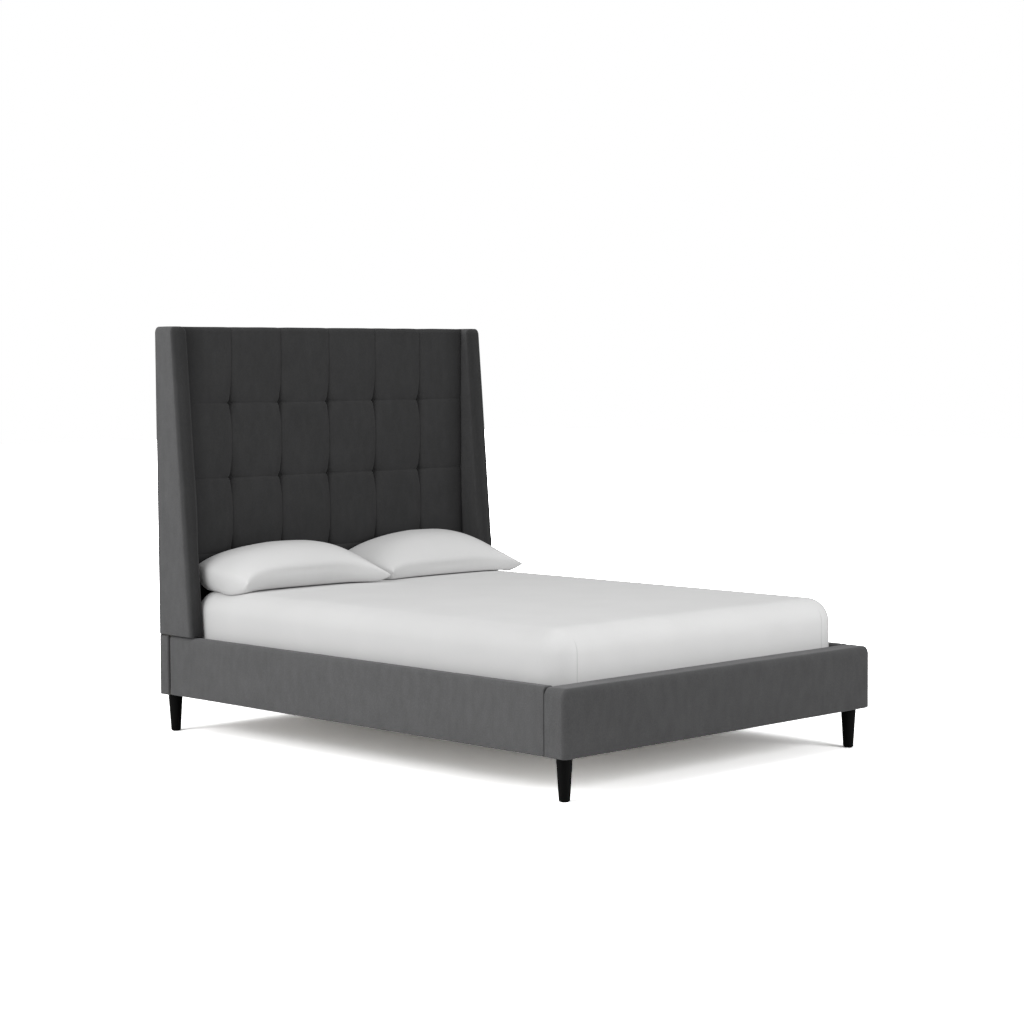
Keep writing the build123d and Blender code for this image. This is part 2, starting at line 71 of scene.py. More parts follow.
# ---- Node materials -----------------------------------------------------------------------------
class Finish:
    """A material under construction: its node tree, its shader and a few short-hands."""

    def __init__(self, name, colour, roughness, **constants):
        self.material = bpy.data.materials.new(name)
        self.material.use_nodes = True
        self.nodes = self.material.node_tree.nodes
        self.links = self.material.node_tree.links
        self.shader = self.nodes["Principled BSDF"]
        self.colour = colour
        self.set(self.shader, **{"Base Color": (*colour, 1), "Roughness": roughness, **constants})
        self.place = self.nodes.new("ShaderNodeTexCoord").outputs["Object"]

    def set(self, node, **values):
        for name, value in values.items():
            node.inputs[name].default_value = value

    def add(self, kind, *sources, **values):
        """A node with its first inputs linked to sources and its other inputs set by name."""
        node = self.nodes.new("ShaderNode" + kind)
        for socket, source in zip(node.inputs, sources):
            self.links.new(source, socket)
        self.set(node, **values)
        return node

    def scaled(self, x, y, z):
        """The object's own coordinates, scaled by a factor along each axis."""
        return self.add("Mapping", self.place, Scale=(x, y, z)).outputs["Vector"]

    def noise(self, scale, detail=2.0, stretch=(1, 1, 1), roughness=0.5):
        node = self.add("TexNoise", self.scaled(*stretch), Scale=scale, Detail=detail,
                        Roughness=roughness)
        return node.outputs["Fac"]

    def ramp(self, source, low, high, from_low=0.3, from_high=0.7):
        node = self.add("MapRange", source)
        self.set(node, **{"From Min": from_low, "From Max": from_high, "To Min": low, "To Max": high})
        return node.outputs["Result"]

    def math(self, operation, *sources, value=None):
        node = self.nodes.new("ShaderNodeMath")
        node.operation = operation
        for socket, source in zip(node.inputs, sources):
            self.links.new(source, socket)
        if value is not None:
            node.inputs[1].default_value = value
        return node.outputs["Value"]

    def shade_colour(self, *factors):
        """Base colour multiplied by each factor, a value that varies round 1."""
        total = factors[0]
        for factor in factors[1:]:
            total = self.math("MULTIPLY", total, factor)
        node = self.nodes.new("ShaderNodeVectorMath")
        node.operation = "SCALE"
        node.inputs[0].default_value = self.colour
        self.links.new(total, node.inputs["Scale"])
        self.links.new(node.outputs["Vector"], self.shader.inputs["Base Color"])

    def facing(self, axis, factor, reach=1.0):
        """Painted shade or light on the colour: 1 where the surface faces across an axis, and factor where
        it faces along it.
        """
        normal = self.nodes.new("ShaderNodeNewGeometry").outputs["Normal"]
        along = self.add("SeparateXYZ", normal).outputs[axis]
        return self.ramp(self.math("ABSOLUTE", along), 1.0, factor, 0.0, reach)

    def rough(self, source):
        self.links.new(source, self.shader.inputs["Roughness"])

    def bump(self, *layers):
        """Stacked bumps, each a (height, strength, distance) from coarse to fine."""
        normal = None
        for height, strength, distance in layers:
            node = self.add("Bump", Strength=strength, Distance=distance)
            self.links.new(height, node.inputs["Height"])
            if normal:
                self.links.new(normal, node.inputs["Normal"])
            normal = node.outputs["Normal"]
        self.links.new(normal, self.shader.inputs["Normal"])

    def weave(self, threads_per_metre):
        """Crossed threads along all three axes, so that any face of a piece shows a plain weave."""
        total = None
        for axis in "XYZ":
            wave = self.add("TexWave", self.place, Scale=threads_per_metre / 10.0, Distortion=0.4)
            wave.bands_direction = axis
            self.set(wave, **{"Detail": 1.0, "Detail Scale": 4.0})
            total = wave.outputs["Fac"] if total is None else self.math("ADD", total, wave.outputs["Fac"])
        return total


def velvet(name, colour, sheen, facing_shade=("Y", 1.0), inner=None):
    """Short-pile upholstery velvet with a faintly mottled pile. facing_shade and inner are painted shade
    on its colour, fitted to the photo, not measured on velvet: facing_shade darkens a face by the axis
    that it looks along, and inner darkens by |x| towards the corner of a wing and the pad, where shade
    falls, as two factors and where each is reached."""
    finish = Finish(name, colour, 0.92)
    finish.set(finish.shader, **{"Sheen Weight": sheen, "Sheen Roughness": 0.4,
                                 "Sheen Tint": (0.82, 0.82, 0.84, 1), "Specular IOR Level": 0.12})
    clouds = finish.noise(7.0, 3.0)
    streaks = finish.noise(34.0, 4.0, (1, 1, 0.42))
    nap_grain = finish.noise(260.0, 2.0, (1, 1, 0.7))
    fibre = finish.noise(1100.0, 1.0)
    # The last of these factors is painted shade, by the axis that a face looks along.
    shades = [finish.ramp(clouds, 0.96, 1.04), finish.ramp(streaks, 0.94, 1.06),
              finish.ramp(nap_grain, 0.91, 1.09), finish.ramp(fibre, 0.88, 1.12), finish.facing(*facing_shade)]
    # inner is painted shade, darker towards the corner of a wing and the pad.
    if inner:
        sideways = finish.math("ABSOLUTE", finish.add("SeparateXYZ", finish.place).outputs["X"])
        shades.append(finish.ramp(sideways, *inner))
    finish.shade_colour(*shades)
    finish.rough(finish.ramp(nap_grain, 0.88, 0.98))
    finish.bump((streaks, 0.05, 0.5 * MM), (nap_grain, 0.18, 0.35 * MM), (fibre, 0.3, 0.2 * MM))
    return finish.material


def percale(name, colour, crease, sides=1.0, ends=1.0, seam=None):
    """Washed white cotton: a fine plain weave with soft, shallow creases and, on a fitted sheet, the
    seam of each foot corner, which stands at x = +-seam on the face below the bend. sides and ends are
    painted shade and painted light on its colour, fitted to the photo: factors for faces that look
    along X and Y."""
    finish = Finish(name, colour, 0.85)
    finish.set(finish.shader, **{"Sheen Weight": 0.05, "Sheen Roughness": 0.5,
                                 "Specular IOR Level": 0.2})
    slubs = finish.noise(260.0, 2.0)
    wear = finish.noise(5.0, 2.0)
    creases = finish.noise(6.0, 3.0)
    fine_creases = finish.noise(26.0, 2.0)
    threads = finish.weave(900.0)
    # The two facing factors are painted shade and painted light, by the axis that a face looks along.
    shades = [finish.ramp(wear, 0.985, 1.015), finish.ramp(slubs, 0.99, 1.01),
              finish.facing("X", sides, 0.55), finish.facing("Y", ends)]
    layers = [(creases, crease, 4 * MM), (fine_creases, crease * 0.5, 1 * MM),
              (threads, 0.1, 0.05 * MM)]
    if seam:
        axes = finish.add("SeparateXYZ", finish.place).outputs
        from_seam = finish.math("SUBTRACT", finish.math("ABSOLUTE", axes["X"]), value=seam)
        stitch = finish.ramp(finish.math("ABSOLUTE", from_seam), 1.0, 0.0, 0.8 * MM, 3.5 * MM)
        below_bend = finish.ramp(axes["Z"], 1.0, 0.0, 500 * MM, 535 * MM)
        at_foot = finish.ramp(axes["Y"], 1.0, 0.0, -1000 * MM, -980 * MM)
        stitch = finish.math("MULTIPLY", finish.math("MULTIPLY", stitch, below_bend), at_foot)
        shades.append(finish.ramp(stitch, 1.0, 0.86, 0, 1))
        layers.insert(0, (finish.ramp(stitch, 0.0, -1.0, 0, 1), 0.8, 1.2 * MM))
    finish.shade_colour(*shades)
    finish.rough(finish.ramp(slubs, 0.8, 0.9))
    finish.bump(*layers)
    return finish.material


def lining(name, colour):
    """Plain dark lining cloth for the back of the headboard."""
    finish = Finish(name, colour, 0.9)
    finish.set(finish.shader, **{"Sheen Weight": 0.1, "Specular IOR Level": 0.2})
    clouds = finish.noise(4.0, 3.0)
    slubs = finish.noise(120.0, 2.0, (1, 1, 0.2))
    threads = finish.weave(520.0)
    finish.shade_colour(finish.ramp(clouds, 0.94, 1.06), finish.ramp(slubs, 0.9, 1.1))
    finish.rough(finish.ramp(slubs, 0.84, 0.95))
    finish.bump((clouds, 0.1, 3 * MM), (threads, 0.5, 0.15 * MM))
    return finish.material


def ticking(name, colour):
    """Knitted mattress ticking, quilted in shallow lozenges."""
    finish = Finish(name, colour, 0.88)
    finish.set(finish.shader, **{"Sheen Weight": 0.1, "Specular IOR Level": 0.2})
    wave = finish.add("TexWave", finish.scaled(1, 1, 1), Scale=3.2, Distortion=0.0)
    wave.bands_direction = "DIAGONAL"
    slubs = finish.noise(300.0, 2.0)
    finish.shade_colour(finish.ramp(slubs, 0.96, 1.04), finish.ramp(wave.outputs["Fac"], 0.97, 1.0, 0, 1))
    finish.rough(finish.ramp(slubs, 0.8, 0.92))
    finish.bump((wave.outputs["Fac"], 0.4, 4 * MM), (slubs, 0.3, 0.4 * MM))
    return finish.material


def wood(name, colour, grain_along, contrast):
    """Planed timber whose grain runs along one axis."""
    along = {"X": (0.06, 1, 1), "Y": (1, 0.06, 1), "Z": (1, 1, 0.06)}[grain_along]
    finish = Finish(name, colour, 0.55)
    finish.set(finish.shader, **{"Specular IOR Level": 0.3})
    rings = finish.noise(34.0, 4.0, along, 0.6)
    pores = finish.noise(420.0, 2.0, along)
    finish.shade_colour(finish.ramp(rings, 1 - contrast, 1 + contrast * 0.4),
                        finish.ramp(pores, 0.92, 1.05))
    finish.rough(finish.ramp(pores, 0.48, 0.7))
    finish.bump((rings, 0.15, 0.4 * MM), (pores, 0.3, 0.2 * MM))
    return finish.material


def lacquer(name, colour):
    """Black satin lacquer over turned wood, the grain just showing through."""
    finish = Finish(name, colour, 0.5)
    finish.set(finish.shader, **{"Specular IOR Level": 0.05})
    grain = finish.noise(160.0, 3.0, (1, 1, 0.07))
    scuffs = finish.noise(60.0, 3.0)
    finish.shade_colour(finish.ramp(grain, 0.8, 1.25))
    finish.rough(finish.ramp(scuffs, 0.42, 0.6))
    finish.bump((grain, 0.12, 0.2 * MM))
    return finish.material


def plated_steel(name, colour):
    """Zinc plate with its faint crystalline spangle."""
    finish = Finish(name, colour, 0.35, Metallic=1.0)
    spangle = finish.add("TexVoronoi", finish.place, Scale=140.0).outputs["Color"]
    flow = finish.noise(40.0, 2.0)
    finish.shade_colour(finish.ramp(spangle, 0.85, 1.1, 0, 1), finish.ramp(flow, 0.92, 1.05))
    finish.rough(finish.ramp(spangle, 0.28, 0.45, 0, 1))
    finish.bump((spangle, 0.08, 0.1 * MM))
    return finish.material


def moulded(name, colour, roughness, grain):
    """Powder coat or moulded plastic with a fine even texture."""
    finish = Finish(name, colour, roughness)
    finish.set(finish.shader, **{"Specular IOR Level": 0.4})
    pebbles = finish.noise(grain, 2.0)
    patches = finish.noise(25.0, 2.0)
    finish.shade_colour(finish.ramp(patches, 0.9, 1.1), finish.ramp(pebbles, 0.92, 1.08))
    finish.rough(finish.ramp(patches, roughness - 0.06, roughness + 0.06))
    finish.bump((pebbles, 0.3, 0.12 * MM))
    return finish.material


# The velvet copies carry painted shade: the foot and wing copies are darker on faces that look along Y,
# and the wing copy darker on its inner face by the pad.
VELVET_RAIL = velvet("charcoal_velvet", (0.074, 0.074, 0.075), 0.14)
VELVET_FOOT = velvet("charcoal_velvet_foot", (0.073, 0.073, 0.074), 0.14, ("Y", 0.66))
VELVET_WING = velvet("charcoal_velvet_wing", (0.071, 0.071, 0.072), 0.10, ("Y", 0.36),
                     (0.68, 1.0, 757 * MM, 800 * MM))
# The pad's velvet is painted shade: about a third as bright as the rail's, as the recessed pad lies in
# shade, and darker still towards the wings.
VELVET_PAD_SHADED = velvet("charcoal_velvet_pad_painted_shade", (0.0262, 0.0262, 0.0266), 0.045, ("Y", 1.0),
                    (1.0, 0.6, 640 * MM, 757 * MM))
# The tuft buttons' velvet is near black: painted shade for the tufts' pits.
VELVET_TUFT_SHADE = velvet("charcoal_velvet_tuft_painted_shade", (0.012, 0.012, 0.012), 0.02)
# The sheet and pillowcase are painted darker on faces that look along X and painted lighter on faces that
# look along Y.
SHEET = percale("white_percale", (0.475, 0.475, 0.474), 0.12, 0.92, 1.08, 658 * MM)
PILLOWCASE = percale("white_pillowcase", (0.435, 0.435, 0.434), 0.15, 0.93, 1.13)
BACK_LINING = lining("charcoal_lining", (0.045, 0.045, 0.046))
TICKING = ticking("mattress_ticking", (0.5, 0.5, 0.49))
PINE = (0.48, 0.44, 0.385)
PINE_X = wood("pine_across", PINE, "X", 0.25)
PINE_Y = wood("pine_along", PINE, "Y", 0.25)
PINE_Z = wood("pine_upright", PINE, "Z", 0.25)
PLYWOOD = wood("birch_plywood", (0.54, 0.48, 0.39), "X", 0.14)
LEG_LACQUER = lacquer("black_lacquer", (0.0014, 0.0014, 0.0014))
ZINC = plated_steel("zinc_plate", (0.56, 0.56, 0.55))
POWDER_COAT = moulded("black_powder_coat", (0.01, 0.01, 0.01), 0.5, 700.0)
PLASTIC = moulded("black_plastic", (0.012, 0.012, 0.012), 0.6, 400.0)


# ---- Mesh helpers -------------------------------------------------------------------------------
def add_object(name, data):
    thing = bpy.data.objects.new(name, data)
    bpy.context.scene.collection.objects.link(thing)
    return thing


def new_object(name, vertices, faces, material):
    mesh = bpy.data.meshes.new(name)
    mesh.from_pydata([tuple(v) for v in vertices], [], faces)
    mesh.validate()
    piece = add_object(name, mesh)
    piece.data.materials.append(material)
    mesh.shade_smooth()
    return piece


def points_of(piece):
    return np.array([v.co for v in piece.data.vertices], float)


def move_points(piece, points):
    piece.data.vertices.foreach_set("co", np.asarray(points, np.float32).ravel())
    piece.data.update()


def grid_faces(rows, columns, start=0):
    """Quads of a grid whose points are numbered row by row."""
    return [(start + r * columns + c, start + r * columns + c + 1,
             start + (r + 1) * columns + c + 1, start + (r + 1) * columns + c)
            for r in range(rows - 1) for c in range(columns - 1)]


def eased(stops, counts, ease=0.8):
    """Grid lines through every stop, closer together beside the stops than between them."""
    lines = [stops[0]]
    for low, high, count in zip(stops, stops[1:], counts):
        for step in range(1, count + 1):
            t = step / count
            t = ease * (1 - math.cos(math.pi * t)) / 2 + (1 - ease) * t
            lines.append(low + (high - low) * t)
    return np.array(lines)


def block_lines(low, high, round_low, round_high, spacing, arc_steps=4):
    """Grid lines along one axis of a soft block, with equal turns inside each rounded edge."""
    turns = [math.tan(math.radians(45 * k / arc_steps)) for k in range(arc_steps + 1)]
    start = [low + round_low * (1 - t) for t in reversed(turns)]
    end = [high - round_high * (1 - t) for t in turns]
    flat = end[0] - start[-1]
    steps = max(1, round(flat / spacing))
    middle = [start[-1] + flat * i / steps for i in range(1, steps)]
    return np.array(start + middle + end)


def soft_block(name, low, high, round_low, round_high, crown, material, spacing=14 * MM):
    """A padded block whose edges are rounded by round_low at its low sides and round_high at its
    high sides, one value per axis, and whose faces swell by crown in the middle."""
    low, high, crown = (np.array(v, float) for v in (low, high, crown))
    lines = [block_lines(low[i], high[i], round_low[i], round_high[i], spacing) for i in range(3)]
    points, faces = [], []
    for axis in range(3):
        u, v = (axis + 1) % 3, (axis + 2) % 3
        for side in (0, 1):
            start = len(points)
            for a in lines[u]:
                for b in lines[v]:
                    p = np.zeros(3)
                    p[axis], p[u], p[v] = (low, high)[side][axis], a, b
                    points.append(p)
            quads = grid_faces(len(lines[u]), len(lines[v]), start)
            faces += quads if side == 0 else [q[::-1] for q in quads]
    points = np.array(points)
    round_low, round_high = np.array(round_low, float), np.array(round_high, float)
    inner = np.clip(points, low + round_low, high - round_high)
    away = points - inner
    radius = np.where(away < 0, round_low, round_high)
    turned = away / np.maximum(radius, 1e-9)
    turned /= np.linalg.norm(turned, axis=1)[:, None]
    centre, half = (low + high) / 2, (high - low) / 2
    off_centre = np.abs((points - centre) / half)
    swell = 1 - off_centre**2.4
    grown = np.stack([swell[:, 1] * swell[:, 2], swell[:, 2] * swell[:, 0],
                      swell[:, 0] * swell[:, 1]], axis=1)
    placed = inner + turned * radius + turned * np.maximum(grown, 0) * crown
    piece = new_object(name, placed, faces, material)
    weld(piece)
    return piece


def weld(piece, distance=0.02 * MM):
    mesh = bmesh.new()
    mesh.from_mesh(piece.data)
    bmesh.ops.remove_doubles(mesh, verts=mesh.verts, dist=distance)
    bmesh.ops.recalc_face_normals(mesh, faces=mesh.faces)
    mesh.to_mesh(piece.data)
    mesh.free()
    piece.data.shade_smooth()


def cut_open(piece, inside):
    """Removes the faces whose middle lies inside, as where a fitted sheet stays open below."""
    mesh = bmesh.new()
    mesh.from_mesh(piece.data)
    gone = [face for face in mesh.faces if inside(face.calc_center_median())]
    bmesh.ops.delete(mesh, geom=gone, context="FACES")
    mesh.to_mesh(piece.data)
    mesh.free()


def ripple(piece, height, size, shift, mask=None):
    """Moves each point by smooth noise, as hand-laid padding is never quite even. shift is how far
    along the noise the piece starts, so that no two pieces ripple alike."""
    points = points_of(piece)
    moved = points.copy()
    for i, p in enumerate(points):
        amount = height if mask is None else height * mask(p)
        if amount:
            moved[i] += amount * np.array(noise.noise_vector(Vector(p) / size + Vector((shift, 0, 0))))
    move_points(piece, moved)


def dress(piece, body, slot, *nodes):
    """Rides the piece on its body, in the place of the CAD nodes that it stands for."""
    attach(piece, body)
    if nodes:
        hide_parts(*nodes)
    return piece


# ---- Tufted headboard pad -----------------------------------------------------------------------
PAD_EDGE_R = 18 * MM
CREST_DEPTH = 1.5 * MM      # the puffs' crowns stand this far behind the CAD pad's front


def tuft_depth(x, z):
    """How far the fabric lies behind the puffs' crowns at a place on the pad's face."""
    to_column = np.min([np.abs(x - c) for c in TUFT_COLUMNS], axis=0)
    above_row = np.array([z - r for r in TUFT_ROWS])
    above_row = np.take_along_axis(above_row, np.abs(above_row).argmin(axis=0)[None], axis=0)[0]
    to_row = np.abs(above_row)
    tucked = np.where(above_row < 0, 0.010, 0.020)      # each puff starts steeply below its seam
    column_seam = (6.0 + 19.0 * np.exp(-((to_row / 0.055) ** 1.7))) * np.exp(-to_column / 0.015)
    row_seam = (3.4 + 15.0 * np.exp(-((to_column / 0.036) ** 1.6))) * np.exp(-to_row / tucked)
    seams = (column_seam**3 + row_seam**3) ** (1 / 3)
    from_tuft = np.hypot(to_column, to_row)
    pit = 10.0 * np.exp(-((from_tuft / 0.0085) ** 2))
    groove = 2.6 * np.exp(-((to_column / 0.0022) ** 2)) + 0.7 * np.exp(-((to_row / 0.0018) ** 2))
    hollow = 1.6 * (np.exp(-to_column / 0.06) + np.exp(-to_row / 0.07))
    at_wings = 16.0 * np.exp(-(PAD_HIGH.x - np.abs(x)) / 0.018)
    return np.minimum(seams + pit + groove + hollow + at_wings, 34.0) * MM


def pad_profile():
    """The pad's section from under its base, up its face and over its top, as (y, z, facing)."""
    front = PAD_LOW.y + CREST_DEPTH
    base, top, back = PAD_LOW.z, PAD_HIGH.z, BACK_Y - 4 * MM
    profile = [(front + 34 * MM, base, (0, -1)), (front + PAD_EDGE_R, base, (0, -1))]
    for step in range(1, 8):
        turn = math.radians(90 * step / 8)
        profile.append((front + PAD_EDGE_R * (1 - math.sin(turn)),
                        base + PAD_EDGE_R * (1 - math.cos(turn)), (-math.sin(turn), -math.cos(turn))))
    stops = [base + PAD_EDGE_R, *reversed(TUFT_ROWS), top - PAD_EDGE_R]
    profile += [(front, z, (-1, 0)) for z in eased(stops, [34, 38, 38, 34])]
    for step in range(1, 9):
        turn = math.radians(90 * step / 8)
        profile.append((front + PAD_EDGE_R * (1 - math.cos(turn)),
                        top - PAD_EDGE_R * (1 - math.sin(turn)), (-math.cos(turn), math.sin(turn))))
    profile += [(y, top, (0, 1)) for y in np.linspace(front + PAD_EDGE_R, back, 7)[1:]]
    profile.append((back + 3 * MM, top - 3 * MM, (1, 0)))
    return profile


def tufted_pad():
    stops = [PAD_LOW.x, *TUFT_COLUMNS, PAD_HIGH.x]
    xs = eased(stops, [34] * (len(stops) - 1))
    points = []
    for y, z, facing in pad_profile():
        on_face = max(0.0, -facing[0])
        over_top = max(0.0, facing[1])
        depth = tuft_depth(xs, np.full_like(xs, z)) * on_face
        to_column = np.min([np.abs(xs - c) for c in TUFT_COLUMNS], axis=0)
        depth += over_top * 2.5 * MM * np.exp(-to_column / 0.008)
        for x, inward in zip(xs, depth):
            points.append((x, y - facing[0] * inward, z - facing[1] * inward))
    faces = grid_faces(len(pad_profile()), len(xs))
    # its velvet is darkened as painted shade
    pad = new_object("headboard_pad", points, faces, VELVET_PAD_SHADED)
    ripple(pad, 0.9 * MM, 0.09, 3.0, lambda p: min(1.0, (PAD_HIGH.x - abs(p[0])) / 0.03))
    return dress(pad, "bed_frame", "upholstery", "headboard_front_cover", "headboard_foam")


def tuft_buttons():
    """A small covered button sunk into each tuft, in a near-black velvet that is painted shade for the
    tuft's pit.
    """
    radius, rise = 7 * MM, 3.0 * MM
    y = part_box("tuft_buttons")[0].y + 4 * MM
    points, faces = [], []
    ring = 20
    for z in TUFT_ROWS:
        for x in TUFT_COLUMNS:
            start = len(points)
            for turn in (90, 70, 48, 24, 4, -30):
                r, out = radius * math.cos(math.radians(turn)), rise * math.sin(math.radians(turn))
                for k in range(ring):
                    a = 2 * math.pi * k / ring
                    points.append((x + r * math.cos(a), y - out, z + r * math.sin(a)))
            for band in range(5):
                for k in range(ring):
                    a, b = start + band * ring + k, start + band * ring + (k + 1) % ring
                    faces.append((a, b, b + ring, a + ring))
    buttons = new_object("tuft_covered_buttons", points, faces, VELVET_TUFT_SHADE)
    weld(buttons)
    return dress(buttons, "bed_frame", "upholstery", "tuft_buttons")


# ---- Wings and posts ----------------------------------------------------------------------------
def wing(side):
    node = f"wing_cover_{side}"
    low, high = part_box(node)
    depth_low, depth_high = 217 * MM, 112 * MM
    lean = (depth_low - depth_high) / (high.z - low.z)
    front, back = low.y, BACK_Y - 1 * MM
    out = -1 if side == "left" else 1
    proud = 4 * MM          # the padding stands a little outside the frame's line
    x_low, x_high = (low.x - proud, high.x) if out < 0 else (low.x, high.x + proud)
    piece = soft_block(f"wing_pad_{side}", (x_low, front, low.z - 1.5 * MM), (x_high, back, high.z),
                       (18 * MM, 19 * MM, 5 * MM), (18 * MM, 9 * MM, 25 * MM),
                       (2.5 * MM, 3.0 * MM, 1 * MM), VELVET_WING, 16 * MM)
    points = points_of(piece)
    ahead = (back - points[:, 1]) / (back - front)
    points[:, 1] += ahead * lean * (points[:, 2] - low.z)
    above_bed = np.clip((points[:, 2] - 700 * MM) / (200 * MM), 0, 1)
    inner = np.clip(1 - (np.abs(points[:, 0]) - 761 * MM) / (20 * MM), 0, 1)
    points[:, 0] -= out * 8 * MM * inner * above_bed**2 * (3 - 2 * above_bed)
    points[:, 1] = np.minimum(points[:, 1], back)
    move_points(piece, points)
    ripple(piece, 0.7 * MM, 0.12, 11.0 if side == "left" else 17.0,
           lambda p: min(1.0, (back - p[1]) / 0.03))
    return dress(piece, "bed_frame", "upholstery", node, f"wing_foam_{side}")


def post_pad(side):
    node = f"post_cover_{side}"
    low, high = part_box(node)
    out = -1 if side == "left" else 1
    inner = abs(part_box(f"headboard_post_{side}")[0 if side == "left" else 1].x) + 0.5 * MM
    xs = sorted((out * inner, low.x if out < 0 else high.x))
    rounds = [(2 * MM, 5 * MM, 3 * MM), (2 * MM, 4 * MM, 4 * MM)]
    outer_round = 9 * MM
    if out < 0:
        rounds[0] = (outer_round, *rounds[0][1:])
    else:
        rounds[1] = (outer_round, *rounds[1][1:])
    piece = soft_block(f"post_pad_{side}", (xs[0], low.y + 0.5 * MM, low.z - 0.6 * MM),
                       (xs[1], BACK_Y - 1 * MM, high.z), *rounds, (1 * MM, 0, 0), VELVET_RAIL, 12 * MM)
    return dress(piece, "bed_frame", "upholstery", node)


# ---- Rails and footboard ------------------------------------------------------------------------
def side_rail(side):
    """The rail's padding: a wrap over its outer face and top, hollow where the board is."""
    node = f"side_rail_cover_{side}"
    low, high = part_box(node)
    piece = soft_block(f"side_rail_pad_{side}", (low.x, low.y, low.z), (high.x, high.y, high.z),
                       (13 * MM, 4 * MM, 5 * MM), (13 * MM, 10 * MM, 15 * MM),
                       (1.5 * MM, 0, 0.5 * MM), VELVET_RAIL, 18 * MM)
    ripple(piece, 0.6 * MM, 0.16, 23.0 if side == "left" else 29.0)
    return dress(piece, "bed_frame", "upholstery", node, f"side_rail_foam_{side}")


def footboard():
    low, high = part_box("footboard_cover")
    piece = soft_block("footboard_pad", low, high, (26 * MM, 15 * MM, 5 * MM),
                       (26 * MM, 11 * MM, 32 * MM), (1 * MM, 2 * MM, 0.8 * MM), VELVET_FOOT, 18 * MM)
    ripple(piece, 0.7 * MM, 0.16, 31.0)
    return dress(piece, "bed_frame", "upholstery", "footboard_cover", "footboard_foam")


# ---- Back of the headboard ----------------------------------------------------------------------
def back_panel():
    low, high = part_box("headboard_back_cover")
    inset = 9 * MM
    xs = np.linspace(low.x + inset, high.x - inset, 90)
    zs = np.linspace(low.z + inset, high.z - inset, 80)
    points = []
    for z in zs:
        for x in xs:
            edge = min(x - xs[0], xs[-1] - x, z - zs[0], zs[-1] - z)
            puff = 1.5 * MM * (1 - math.exp(-edge / 0.03))
            points.append((x, BACK_Y - 1.0 * MM + puff, z))
    panel = new_object("headboard_back_lining", points, grid_faces(len(zs), len(xs)), BACK_LINING)
    ripple(panel, 0.6 * MM, 0.2, 37.0)
    panel.modifiers.new("Cloth thickness", "SOLIDIFY").thickness = 1 * MM
    return dress(panel, "bed_frame", "back_lining", "headboard_back_cover")


def back_welt():
    """The piping sewn round the edge of the back lining."""
    low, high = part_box("headboard_back_cover")
    inset, corner, radius = 8 * MM, 14 * MM, 2.2 * MM
    corners = ((high.x, low.z, 270), (high.x, high.z, 0), (low.x, high.z, 90), (low.x, low.z, 180))
    ring = []
    for x, z, start in corners:
        cx = x - math.copysign(inset + corner, x)
        cz = z + (inset + corner) * (1 if z == low.z else -1)
        for step in range(7):
            turn = math.radians(start + 15 * step)
            ring.append((cx + corner * math.cos(turn), BACK_Y - 1.5 * MM,
                         cz + corner * math.sin(turn), 1))
    curve = bpy.data.curves.new("back_welt", "CURVE")
    curve.dimensions, curve.bevel_depth, curve.bevel_resolution = "3D", radius, 3
    spline = curve.splines.new("POLY")
    spline.points.add(len(ring) - 1)
    for point, place in zip(spline.points, ring):
        point.co = place
    spline.use_cyclic_u = True
    curve.materials.append(BACK_LINING)
    return dress(add_object("back_welt", curve), "bed_frame", "back_lining")


# ---- Mattress and fitted sheet ------------------------------------------------------------------
def mattress():
    low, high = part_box("mattress")
    gap = Vector((1.5 * MM,) * 3)       # keeps it inside its sheet
    piece = soft_block("mattress_body", low + gap, high - gap, (86 * MM, 86 * MM, 24 * MM),
                       (86 * MM, 86 * MM, 84 * MM), (0, 0, 0), TICKING, 45 * MM)
    return dress(piece, "mattress_body", "mattress_ticking", "mattress")


def fitted_sheet():
    """The sheet's cloth, stretched over the mattress and tucked a hand's width under its base."""
    low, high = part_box("fitted_sheet")
    piece = soft_block("fitted_sheet_cloth", low, high, (SHEET_ROUND, SHEET_ROUND, 22 * MM),
                       (SHEET_ROUND,) * 3, (1 * MM, 1 * MM, 1 * MM), SHEET, 24 * MM)
    tuck = 110 * MM
    cut_open(piece, lambda p: p.z < low.z + 4 * MM and low.x + tuck < p.x < high.x - tuck
             and low.y + tuck < p.y < high.y - tuck)
    return dress(piece, "mattress_body", "white_sheet", "fitted_sheet")


# ---- Pillows ------------------------------------------------------------------------------------
PILLOW_HALF = 376 * MM      # half of a pillow's width, tip to end
PILLOW_GAP = 1.6 * MM       # how far it stays above the sheet
SEAM_PULL, PUCKER, PUCKER_REACH = 2.4 * MM, 1.5 * MM, 28 * MM
SWELL_CAP = 5 * MM          # the most that the cloth simulation may move a point


def rest_height(x):
    """The height of the sheet under a pillow, which falls away over the mattress's long edges."""
    over = np.clip(np.abs(x) - (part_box("fitted_sheet")[1].x - SHEET_ROUND), 0, SHEET_ROUND * 0.999)
    return SHEET_TOP + PILLOW_GAP - (SHEET_ROUND - np.sqrt(SHEET_ROUND**2 - over**2))


def pillow_seam(u, v, front_height):
    """The sewn edge's surface, from u = -1 at the left end to 1 at the tip, and v = -1 in front."""
    left, tip = np.maximum(-u, 0), np.maximum(u, 0)
    front, back = np.maximum(-v, 0), np.maximum(v, 0)
    x_low = -369 + 44 * front**3 + 18 * back**3
    x_high = 352 + 24 * front**5 + 10 * back**3
    y_front = 736 - 22 * left**4 - 82 * tip**4
    z_front = front_height - (front_height - 606) * left**4 - (front_height - 600) * tip**3
    x = x_low + (x_high - x_low) * (u + 1) / 2
    y = y_front + (1036 - y_front) * (v + 1) / 2
    z = z_front + (650 - z_front) * (v + 1) / 2
    return np.stack([x, y, z], axis=1) * MM


